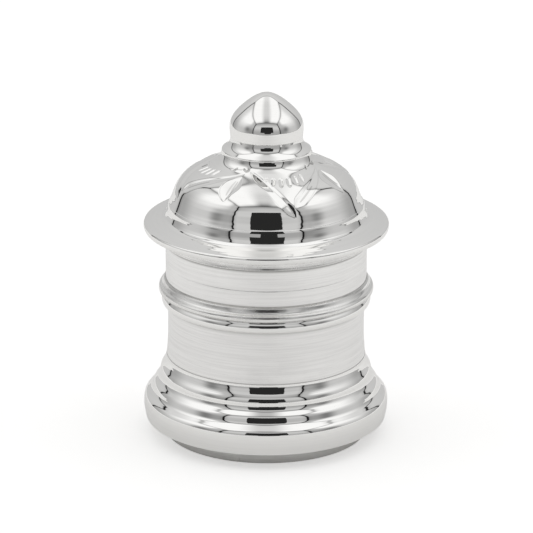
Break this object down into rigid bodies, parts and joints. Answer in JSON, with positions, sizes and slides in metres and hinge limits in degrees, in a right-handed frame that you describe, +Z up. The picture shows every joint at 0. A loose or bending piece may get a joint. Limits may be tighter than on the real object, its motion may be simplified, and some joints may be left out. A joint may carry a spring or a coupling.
{
  "type": "kumkum box",
  "caption": "Small turned silver box for kumkum powder: stepped base, cylindrical body with mid bands, and a domed lift-off lid with flange and bud finial.",
  "frame": {"origin": "centre of the foot ring's underside", "axes": "+Z up along the axis that every piece is turned about, +X to the picture's right, -Y towards the camera"},
  "size_m": [0.0404, 0.0404, 0.0579],
  "materials": {
    "polished_silver": "mirror polish",
    "satin_silver": "satin, fine turning lines",
    "dull_silver": "matte, unpolished"
  },
  "bodies": {
    "box": {"foot_ring": "dull_silver", "base_plate": "dull_silver", "base_moulding": "polished_silver", "lower_wall": "satin_silver", "lower_band": "polished_silver", "upper_band": "polished_silver", "upper_wall": "satin_silver"},
    "lid": {"lid_skirt": "polished_silver", "lid_rim": "polished_silver", "lid_dome": "polished_silver", "finial_collar": "polished_silver", "finial_bud": "polished_silver", "finial_stud": "dull_silver", "stud_washer": "dull_silver"}
  },
  "joints": [
    {"name": "lid_lift", "type": "slide", "parent": "box", "child": "lid", "axis": [0, 0, 1], "range_m": [0, 0.045]}
  ]
}
